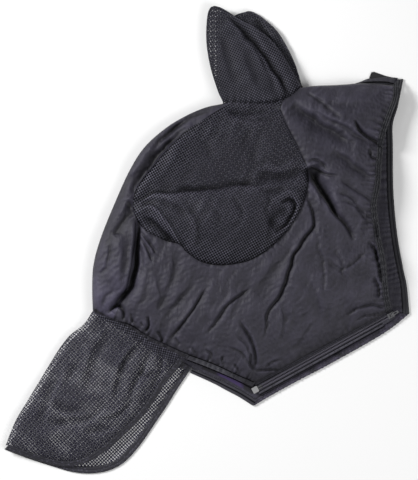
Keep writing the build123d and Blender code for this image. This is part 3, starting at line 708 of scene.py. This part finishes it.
# Painted shade: a darker copy of the ear net for the layers that lie under the near ear's top
# layer.
NET_EAR_FAR = net_material("net_ear_right", (0.004, 0.004, 0.005), (0.050, 0.049, 0.064),
                           pitch=4.0, hole=0.21, angle=1.1)
BINDING_CHIN = lycra_material("binding_chin", (0.020, 0.019, 0.026), (0.042, 0.041, 0.052))
BINDING = lycra_material("binding_elastic", (0.013, 0.013, 0.017), (0.024, 0.024, 0.030))
HEM = lycra_material("hem_charcoal", (0.014, 0.0135, 0.019), (0.024, 0.023, 0.032), dots=1.6)
TAPE_DARK = lycra_material("nose_tape", (0.012, 0.011, 0.016), (0.021, 0.020, 0.028))
BLACK = lycra_material("webbing_black", (0.008, 0.008, 0.009), (0.014, 0.014, 0.016), 0.0)
TAPE = lycra_material("zip_tape", (0.026, 0.025, 0.034), (0.042, 0.040, 0.055), dots=0.5)
TAPE_LIGHT = lycra_material("zip_rib", (0.034, 0.032, 0.044), (0.075, 0.072, 0.094), dots=-0.5)
ZIP_HEM = lycra_material("zip_hem", (0.010, 0.0095, 0.014), (0.046, 0.040, 0.066), dots=0.6,
                         patches=60.0)
METAL_DULL = principled("dull_nickel", (0.17, 0.17, 0.18), 0.35, metallic=1.0)[0]
# Painted shadow: a near-black sheet for the strips laid where only shade falls.
PAINTED_SHADOW = principled("shadow_gap", (0.004, 0.004, 0.005), 0.9, specular=0.1)[0]
METAL = principled("bright_nickel", (0.72, 0.72, 0.73), 0.28, metallic=1.0)[0]
TEETH = principled("zip_teeth_dark", (0.085, 0.080, 0.105), 0.35, specular=0.5)[0]


def lining_material(name, purple, plain, start, end):
    """Purple lining between two distances along the chin, plain beyond them."""
    m, tree, b = principled(name, purple, 0.7, 0.05)
    where = add(tree, "ShaderNodeTexCoord").outputs["Object"]
    x = add(tree, "ShaderNodeSeparateXYZ", where).outputs["X"]
    share = add(tree, "ShaderNodeMapRange", Value=x, From_Min=start, From_Max=end)
    shade = ramp_node(tree, share.outputs[0], (0.0, plain), (1.0, plain), (0.18, plain),
                      (0.30, purple), (0.74, purple), (0.84, plain))
    tree.links.new(shade, b.inputs["Base Color"])
    return m


PURPLE = lining_material("lining_purple", (0.050, 0.032, 0.100), (0.016, 0.015, 0.020), 0.0, 0.08)


# --- Pieces
def finish_piece(obj, body, slot, nodes=(), flat=None, held="laid", area=None, rests=()):
    """Attach a piece to the empty of one body and hide the CAD nodes it stands for."""
    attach(obj, body)
    if nodes:
        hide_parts(*nodes)


def bend_piece(obj, child, bend, slot, nodes, flat=None, area=None):
    """A piece that is sewn to the head cover: hide the CAD nodes it stands for and bake its
    placement into its mesh."""
    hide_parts(*nodes)
    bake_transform(obj)


def bend_line(point, way, start, end, height):
    """The two points, in metres: along way from point, at one height."""
    a, b = point + way * start, point + way * end
    return (a[0], a[1], height), (b[0], b[1], height)


FULLNESS = 1.04                   # length a cloth was cut to, as a share of its outline's
STRETCH = 0.98                    # area it was cut to, as a share of its folded surface's
BAND_FILL = 0.8                   # share of its rectangle that a tapering band covers


def sheet_of(obj, run=None, **facts):
    """The size a cloth panel was cut to, which is its outline laid flat, with its area and any
    other facts given. A curved band is measured along its run, in mm."""
    area = sum(p.area for p in obj.data.polygons) * STRETCH
    width, length = (float(v) * FULLNESS for v in obj.dimensions[:2])
    if run:
        length = run / 1000
        width = area / (BAND_FILL * length)
    return dict(flat=(width, length), area=min(area, width * length), **facts)


def blurred(values, faces, rounds):
    """Values averaged with their neighbours', again and again."""
    f = np.array(faces)
    a = np.concatenate([f[:, 0], f[:, 1], f[:, 2], f[:, 1], f[:, 2], f[:, 0]])
    b = np.concatenate([f[:, 1], f[:, 2], f[:, 0], f[:, 0], f[:, 1], f[:, 2]])
    count = np.maximum(np.bincount(a, minlength=len(values)), 1)
    for _ in range(rounds):
        values = 0.5 * values + 0.5 * np.bincount(a, values[b], len(values)) / count
    return values


def set_relief(obj, z, faces, size):
    """Store how far each point stands above the cloth round it, 0.5 being level; the materials
    paint shade into the hollows and highlight onto the crests from it.
    """
    wide = blurred(z, faces, int(70 * (2.2 / size) ** 2))
    fine = blurred(z, faces, 6)
    relief = 0.5 + np.tanh((0.7 * (z - wide) + 1.6 * (z - fine)) / 5.0) * 0.5
    attribute = obj.data.attributes.new("relief", "FLOAT", "POINT")
    attribute.data.foreach_set("value", relief.astype(np.float32))


def set_flat(obj, xy):
    """Store where each point lies in the flat cloth, which is where the net's pattern is laid."""
    flat = metres(np.column_stack([xy, np.zeros(len(xy))]))
    attribute = obj.data.attributes.new("flat", "FLOAT_VECTOR", "POINT")
    attribute.data.foreach_set("vector", flat.astype(np.float32).ravel())


def panel(name, loop, size, mapper, material):
    """A cloth panel: triangulated outline, mapped into space."""
    xy, faces = triangulate(loop, cell(size))
    points, z = mapper(xy)
    obj = new_object(name, metres(np.column_stack([points, z])), faces, material)
    set_relief(obj, z, faces, size)
    set_flat(obj, xy)
    return obj


def closed(*parts):
    """Join open curves into one outline, dropping doubled corners."""
    loop = np.vstack(parts)
    keep = np.linalg.norm(loop - np.roll(loop, 1, axis=0), axis=1) > 0.3
    return loop[keep]


def line(points):
    """An outline's curve at its usual spacing."""
    return smooth(points, 2.2)


front = line(FRONT[::-1])                         # ears to nose, so the inside is on its left
crown = line(CROWN[::-1])                         # neck to ears
FRONT_RADIUS = 14.0
CROWN_RADIUS = 4.0
CROWN_LOW = 3.0                   # height of the crown's edge above the floor


def face_map(height):
    """Lay a panel of the head cover's upper layer, rolled over the front and, behind the ears,
    over the crown."""
    def mapper(xy):
        points, z = round_edge(xy, front, FRONT_RADIUS, height)
        d, side, _, normal = nearest(xy, crown)
        p = d * side
        reach = CROWN_RADIUS * math.pi / 2
        turn = np.clip(p + reach - CROWN_RADIUS, 0, reach) / CROWN_RADIUS
        rolled = (p < CROWN_RADIUS) & (xy[:, 0] > 160) & (xy[:, 1] > 240)
        points[rolled] += (normal * (CROWN_RADIUS * (1 - np.cos(turn)) - p)[:, None])[rolled]
        z[rolled] = (CROWN_LOW + (z - CROWN_LOW) * np.sin(turn))[rolled]
        return points, z
    return mapper


ROLL = math.pi / 2 - 1             # cloth used by a rolled edge, for each mm of its radius
front_out = offset_curve(front, -FRONT_RADIUS * ROLL)
crown_out = offset_curve(crown, -CROWN_RADIUS * ROLL)
side_nose = offset_curve(line(NOSE_SEAM), -2.5)
NOSE_CORNER = np.array([(-209, -136), (-190, -141)])

side_loop = closed(line(BAND_SEAM)[::-1], side_nose[::-1], line(CHIN_SEAM)[::-1],
                   line(ZIP_SEAM)[::-1], line(NECK_SEAM)[::-1], crown_out,
                   line(EAR_BASE[6:])[::-1], line(EYE_LOWER)[::-1])
left_side = panel("left_side_panel", side_loop, 1.85, face_map(face_height), LYCRA)
finish_piece(left_side, "mask", "lycra", ["left_side_panel", "crown_panel"],
             **sheet_of(left_side, rests=["right_side_panel"]))

band_loop = closed(front_out, NOSE_CORNER, line(BAND_SEAM), line(EYE_FRONT),
                   np.array([(36, 242), (35, 247), (28, 247)]))
front_band = panel("forehead_panel", band_loop, 2.2, face_map(face_height), LYCRA_BAND)
finish_piece(front_band, "mask", "lycra", ["forehead_panel"],
             **sheet_of(front_band, along(front)[-1], held="folded"))

eye_loop = closed(line(EYE_FRONT), offset_curve(line(EAR_BASE[:7]), 1.5),
                  line(EYE_LOWER)[::-1])
left_eye = panel("left_eye_mesh", eye_loop, 2.2, face_map(eye_height), NET_EYE)
finish_piece(left_eye, "mask", "mesh", ["left_eye_mesh"], **sheet_of(left_eye, held="stretched"))


# Right side, on the floor
def far_height(xy):
    """The right half lies on the floor, ruffled where it is gathered."""
    rows = np.abs(pucker(xy, FAR_NECK_SEAM, 3.4, 21.0, 22.0, 51))
    rows += np.abs(pucker(xy, FAR_CHIN_SEAM, 2.0, 13.0, 10.0, 52))
    return 0.5 + np.minimum(rows, 3.0)


far_face_map = rolled_map(front, FRONT_RADIUS, far_height)
far_eye_map = rolled_map(front, FRONT_RADIUS, level(0.9))
far_eye_loop = closed(line(EYE_FRONT), np.array([(60, 243), (100, 243)]), line(EYE_LOWER)[::-1])
far_band_loop = closed(front_out, NOSE_CORNER, line(BAND_SEAM), line(EYE_FRONT),
                       np.array([(46, 240), (44, 247), (27, 247)]))
far_loop = closed(line(BAND_SEAM)[::-1], line(FAR_NOSE)[::-1], line(FAR_CHIN_SEAM)[::-1],
                  line(FAR_OUTER)[::-1], line(FAR_NECK_SEAM)[::-1], line(FAR_CROWN)[::-1],
                  line(EAR_BASE[6:])[::-1], line(EYE_LOWER)[::-1])
right_side = panel("right_side_panel", far_loop, 3.0, far_face_map, LYCRA_FAR)
finish_piece(right_side, "mask", "lycra", ["right_side_panel"], **sheet_of(right_side))
right_band = panel("right_forehead_half", far_band_loop, 3.0, far_face_map, LYCRA_FAR)
finish_piece(right_band, "mask", "lycra", **sheet_of(right_band, along(front)[-1], held="folded"))
right_eye = panel("right_eye_mesh", far_eye_loop, 3.0, far_eye_map, NET_EYE_FAR)
finish_piece(right_eye, "mask", "mesh", ["right_eye_mesh"], **sheet_of(right_eye))


# --- Bands and tubes
GROOVE_WIDTH = 0.09               # as a share of the strip's width


def strip(name, outer, inner, height, thickness, material, ruffle=0.0, pitch=9.0, seed=1, lift=0.0,
          grooves=0, groove=0.0, edge_ruffle=0.0):
    """A folded binding: a flattened tube between two edges, with grooves along it and ruffles."""
    outer, inner = smooth(outer, 2.0), smooth(inner, 2.0)
    count = max(len(outer), len(inner)) // 1
    a, b = resample(outer, count), resample(inner, count)
    run = along((a + b) / 2)
    rng = np.random.default_rng(seed)
    wave = np.zeros(count)
    for k in range(3):
        phase = rng.uniform(0, PHASE)
        wave += np.sin(2 * math.pi * run / (pitch * (1 + 0.37 * k)) + phase) / (1 + k)
    out = (a - b) / np.maximum(np.linalg.norm(a - b, axis=1), 1e-6)[:, None]
    a = a + out * (wave * edge_ruffle)[:, None]
    top = 15 if grooves else 8
    ring = [(u, 1.0) for u in np.linspace(0, 1, top)] + [(u, -1.0) for u in np.linspace(1, 0, 6)]
    verts = []
    for u, v in ring:
        p = a * (1 - u) + b * u
        swell = (4 * u * (1 - u)) ** 0.35
        dent = 0.0
        if grooves and v > 0:
            away = min(abs(u - (k + 1) / (grooves + 1)) for k in range(grooves))
            dent = groove * math.exp(-(away / GROOVE_WIDTH) ** 2)
        z = height(p) + lift + v * thickness / 2 * swell - dent
        z = z + ruffle * wave * (1 if v > 0 else 0.3) * swell
        verts.append(np.column_stack([p, z]))
    n = len(ring)
    faces = []
    for i in range(n):
        here, there = i * count, (i + 1) % n * count
        faces += [(here + k, here + k + 1, there + k + 1, there + k) for k in range(count - 1)]
    faces.append([i * count for i in range(n)])
    faces.append([i * count + count - 1 for i in range(n)][::-1])
    return new_object(name, metres(np.array(verts).reshape(-1, 3)), faces, material)


def band(name, outer, inner, height, thickness, material, slot="lycra", stands=False, **shape):
    """A strip on the head cover. It has the name of the CAD piece it stands for, if any."""
    obj = strip(name, outer, inner, height, thickness, material, **shape)
    finish_piece(obj, "mask", slot, [name] if stands else ())


ON_FLOOR = level(1.7)
ON_ZIP = level(6.4)

band("left_neck_binding", NECK_EDGE, NECK_SEAM, face_height, 3.6, BINDING, "binding", True,
     ruffle=0.10, pitch=4.5, seed=31, lift=0.8, grooves=2, groove=2.2)
band("left_chin_binding", CHIN_EDGE, CHIN_SEAM, face_height, 3.2, BINDING_CHIN, "binding", True,
     ruffle=0.12, pitch=5.0, seed=32, lift=0.8, grooves=2, groove=1.8)
# Painted shadows: near-black strips along the chin's seam, hem and far seam.
band("chin_seam_shadow", [(81, -262), (50, -247.5), (9, -228.5), (-36, -212)],
     [(83, -260), (52, -245.5), (11, -226.5), (-34, -210)], face_height, 4.0, PAINTED_SHADOW, lift=0.4)
band("chin_hem_shadow", [(77, -273), (48.5, -258.2), (4.5, -239), (-39.5, -222)],
     [(78, -271.6), (49.5, -256.8), (5.5, -237.6), (-38.5, -220.6)], ON_ZIP, 1.6, PAINTED_SHADOW)
band("chin_far_shadow", [(84, -300), (57, -283), (33.5, -271), (10.5, -259.4), (-31, -241)],
     [(84.8, -298.4), (57.8, -281.4), (34.3, -269.4), (11.3, -257.8), (-30.2, -239.4)],
     ON_FLOOR, 1.8, PAINTED_SHADOW, lift=2.2)
band("right_neck_binding", FAR_NECK_EDGE, FAR_NECK_SEAM, ON_FLOOR, 3.4, BINDING, "binding", True,
     ruffle=0.3, pitch=4.5, seed=33, lift=0.3, grooves=1, groove=1.8)
band("right_chin_binding", FAR_CHIN_EDGE, FAR_CHIN_SEAM, ON_FLOOR, 3.4, BINDING_CHIN, "binding",
     True, ruffle=0.3, pitch=5.0, seed=34, lift=0.3, grooves=1, groove=1.8)
band("left_nose_seam_tape", NOSE_LINE, [(-206, -126), *NOSE_SEAM[::-1]], face_height, 2.6,
     TAPE_DARK, stands=True, ruffle=0.3, pitch=6.0, seed=37, lift=0.9, grooves=2, groove=1.8)
band("right_nose_seam_tape", [(-36, -244), (-100, -206), (-172, -158), (-207, -138)],
     [(-30, -234), (-96, -196), (-168, -148), (-203, -130)], ON_FLOOR, 2.2, HEM, stands=True,
     ruffle=0.2, pitch=6.0, seed=38, lift=0.1)
band("zip_piping", [(84, -267), (142, -237), (202, -205), (262, -173), (324, -139)],
     [(82, -260), (138, -230), (198, -198), (258, -166), (320, -132)], ON_ZIP, 3.6, TAPE,
     ruffle=0.2, seed=39, lift=0.6, grooves=2, groove=1.6)
band("right_zip_hem", [(82, -305), (112, -287), (163, -259), (224, -227), (317, -174), (362, -140)],
     [(84, -294), (108, -279), (159, -250.5), (218, -217.5), (310, -163.5), (349, -135)],
     ON_FLOOR, 3.0, ZIP_HEM, ruffle=0.5, pitch=6.5, seed=40, lift=0.5, grooves=1, groove=1.0,
     edge_ruffle=0.35)

CHAIN_START = (80, -278)
CHAIN_WAY = (0.876, 0.482)


def beside_chain(offset):
    """A line beside the zip's chain, this far from it towards the right panel."""
    (x, y), (dx, dy) = CHAIN_START, CHAIN_WAY
    return [(x + dy * offset + dx * run, y - dx * offset + dy * run)
            for run in np.linspace(8.0, 266.0, 6)]


# Painted shadows: three near-black strips beside the zip's chain, with a lighter rib of tape
# between two of them.
for name, outer, inner, material in (
        ("zip_shadow_upper", -5.2, -6.4, PAINTED_SHADOW), ("zip_shadow_middle", 6.4, 5.2, PAINTED_SHADOW),
        ("zip_shadow_lower", 13.0, 11.4, PAINTED_SHADOW), ("zip_rib", 10.8, 7.4, TAPE_LIGHT)):
    band(name, beside_chain(outer), beside_chain(inner), ON_ZIP, 1.8, material)
band("poll_roll", [(262, 276), (277, 284), (296, 289.5), (320, 292), (340, 290)],
     [(268, 273), (282, 277), (303, 278), (325, 278), (336, 275)], ON_FLOOR, 3.6, BINDING_CHIN,
     ruffle=0.2, seed=45, lift=1.5)
# Painted shadow: a near-black strip along the crown's edge.
band("poll_shadow", [(264, 278.4), (283, 283), (303, 284.4), (325, 283.6), (338, 280)],
     [(266, 276), (284, 280.6), (303, 282), (325, 281.2), (337, 277.6)], ON_ZIP, 1.8, PAINTED_SHADOW)

# --- Nose flap
FLAP_RADIUS = 9.0
NOSE_BEND = bend_line(np.array([-0.124, -0.174]), np.array([-0.458, -0.889]), -0.004, 0.048, 0.012)
flap_front = line(FLAP_FRONT)
flap_out = offset_curve(flap_front, -FLAP_RADIUS * ROLL)
near_flap_loop = closed(flap_out, line(FLAP_HEM_IN)[::-1],
                        offset_curve(line(NOSE_LINE), 3.0)[::-1])
far_flap_loop = closed(flap_out, line(FAR_HEM_IN)[::-1],
                       line([(-33, -236), (-98, -198), (-170, -152), (-206, -132)]))
near_flap = panel("left_nose_mesh", near_flap_loop, 2.2,
                  rolled_map(flap_front, FLAP_RADIUS, flap_height), NET_NOSE)
far_flap = panel("right_nose_mesh", far_flap_loop, 3.0,
                 rolled_map(flap_front, FLAP_RADIUS, level(0.9)), NET_NOSE_FAR)
bend_piece(near_flap, "nose_flap", NOSE_BEND, "mesh", ["left_nose_mesh", "nose_mesh_front_fold"],
           **sheet_of(near_flap))
bend_piece(far_flap, "nose_flap", NOSE_BEND, "mesh", ["right_nose_mesh"], **sheet_of(far_flap))
near_hem = strip("left_nose_hem", FLAP_HEM, FLAP_HEM_IN, flap_height, 2.6, HEM, ruffle=0.25,
                 pitch=6.0, seed=35, lift=0.5, grooves=1, groove=0.8)
far_hem = strip("right_nose_hem", FAR_HEM, FAR_HEM_IN, ON_FLOOR, 2.4, HEM, ruffle=0.2,
                pitch=6.0, seed=36, grooves=1, groove=0.8)
bend_piece(near_hem, "nose_flap", NOSE_BEND, "binding", ["left_nose_hem"])
bend_piece(far_hem, "nose_flap", NOSE_BEND, "binding", ["right_nose_hem"])

# --- Ears
EAR_START = 245                   # where the ears start from, along Y
EAR_LENGTH = 171
EAR_LEAN = 0.49                   # how far an ear's middle line leans forward for each mm along Y
EAR_FOLDS = [
    ([(35, 400), (66, 371), (89, 344), (107, 320), (125, 293), (138, 266), (141, 246)],
     7, 4, 1, 3.6, 0.1),
    ([(60, 372), (84, 340), (106, 300)], 2.4, 3, 1, 1.6),
    ([(18, 372), (34, 330), (46, 276)], 1.2, 7, 1, 1.6),
    ([(64, 340), (78, 306), (92, 262)], 1, 6, 1, 1.2),
    ([(98, 330), (112, 296), (118, 258)], 1.2, 5, 1.2, 1),
]


def base_dip(xy):
    """Share of the way to the seam at the foot of the ear, from 0 to 1."""
    d, side, _, _ = nearest(xy, smooth(EAR_BASE, 5.0))
    return np.where(side > 0, np.exp(-d / 9.0), 1.0)


def ear_corner(xy):
    """Fall of the near ear towards its back corner."""
    return np.maximum(0, (xy[:, 0] - 114) / 54) ** 2


def ear_crest(xy, foot):
    """Bulge along the middle line of an ear, from its foot's place along X. Its top is 1."""
    centre = foot - EAR_LEAN * (xy[:, 1] - EAR_START)
    return np.exp(-((xy[:, 0] - centre) / 34) ** 2)


def ear_near_top(xy):
    up = xy[:, 1] - EAR_START
    bulge = ear_crest(xy, 95) * (1 - 0.7 * up / EAR_LENGTH)
    z = 26.5 - 0.05 * up - 8 * ear_corner(xy) + 8 * bulge
    z += fold_relief(xy, EAR_FOLDS, 17) + 0.7 * wave_field(xy, 30.0, 18)
    low = 23.0 - 8 * ear_corner(xy)
    dip = base_dip(xy)
    return z * (1 - dip) + low * dip + pucker(xy, EAR_BASE, 1.8, 11.0, 12.0, 61)


def ear_near_low(xy):
    return 17.0 - 0.03 * (xy[:, 1] - EAR_START) - 5 * ear_corner(xy)


def ear_far_top(xy):
    fold = ([(84, 398), (112, 360), (136, 318)], 3, 5, 1.4, 1.4)
    return (7.0 + 4 * ear_crest(xy, 115) + 0.7 * wave_field(xy, 26.0, 19)
            + fold_relief(xy, [fold], 20))


ear_far_low = level(2.0)
ear_foot = offset_curve(line(EAR_BASE), -5.0)
near_ear_loop = closed(line(NEAR_EAR), np.array([(26, 236)]), ear_foot[2:])
far_ear_loop = closed(line(FAR_EAR), offset_curve(line(FAR_EAR_BASE), -4.0))


def plain_map(height):
    return lambda xy: (xy, height(xy))


def ear_bend(height):
    return bend_line(np.array([0.098, 0.2585]), np.array([-0.21, 0.978]), 0.0, 0.022, height)


for name, loop, height, material, body, foot in (
        ("left_ear_outer_mesh", near_ear_loop, ear_near_top, NET_EAR, "left_ear", 0.031),
        ("left_ear_inner_mesh", near_ear_loop, ear_near_low, NET_EAR_FAR, "left_ear", 0.018),
        ("right_ear_outer_mesh", far_ear_loop, ear_far_top, NET_EAR_FAR, "right_ear", 0.009),
        ("right_ear_inner_mesh", far_ear_loop, ear_far_low, NET_EAR, "right_ear", 0.002)):
    obj = panel(name, loop, 2.4, plain_map(height), material)
    bend_piece(obj, body, ear_bend(foot), "mesh", [name], **sheet_of(obj))


def edge_seam(name, outline, top, low, body, foot, seed):
    """The turned seam that joins an ear's two layers round its edge."""
    outer = smooth(outline)
    inner = offset_curve(outer, 3.6)
    obj = strip(name, outer[::2], inner[::2], lambda p: 0.5 * (top(p) + low(p)) + 1.0, 5.0, HEM,
                ruffle=0.2, pitch=6.0, seed=seed)
    bend_piece(obj, body, ear_bend(foot), "binding", [name])


edge_seam("left_ear_edge_seam", NEAR_EAR, ear_near_top, ear_near_low, "left_ear", 0.025, 41)
edge_seam("right_ear_edge_seam", FAR_EAR, ear_far_top, ear_far_low, "right_ear", 0.006, 42)

# --- The zip's hard parts and tapes, the tab and the lining, as they are in the CAD
for name, material in (("zip_retainer_box", METAL), ("zip_end_pins", METAL_DULL),
                       ("zip_top_stops", METAL_DULL), ("zip_slider_body", METAL_DULL),
                       ("zip_pull_tab", METAL_DULL), ("left_zip_teeth", TEETH),
                       ("right_zip_teeth", TEETH), ("left_zip_tape", TAPE),
                       ("right_zip_tape", TAPE), ("poll_tab", BLACK), ("chin_lining", PURPLE)):
    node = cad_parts[name]
    node.data.materials.clear()
    node.data.materials.append(material)

# --- Floor, light, camera
floor = new_object("floor", [(-4, -4, 0), (4, -4, 0), (4, 4, 0), (-4, 4, 0)], [(0, 1, 2, 3)],
                   principled("floor_white", (0.9, 0.9, 0.9), 0.9)[0])
floor.location.z = -0.0006        # just clear of the cloth that lies on it

scene = bpy.context.scene
scene.view_settings.view_transform = "Standard"
world = bpy.data.worlds.new("studio")
scene.world = world
world.use_nodes = True
background = world.node_tree.nodes["Background"].inputs
background["Color"].default_value = (1, 1, 1, 1)
background["Strength"].default_value = 0.30


def area_light(name, location, size, power):
    """A square lamp that faces the middle of the mask. Size in m, power in W."""
    data = bpy.data.lights.new(name, "AREA")
    data.shape = "SQUARE"
    data.size = size
    data.energy = power
    lamp = bpy.data.objects.new(name, data)
    lamp.location = location
    lamp.rotation_euler = (-Vector(location)).to_track_quat("-Z", "Y").to_euler()
    scene.collection.objects.link(lamp)


area_light("key", (-1.9, 1.0, 1.5), 0.7, 74)
area_light("fill", (1.6, -1.0, 2.0), 1.6, 30)

camera = bpy.data.objects.new("camera", bpy.data.cameras.new("camera"))
camera.data.sensor_width = 36
camera.data.lens = 125.0
camera.location = (0.0024, -0.0011, 3.03)    # straight above, looking down
scene.collection.objects.link(camera)
scene.camera = camera

bpy.context.view_layer.update()
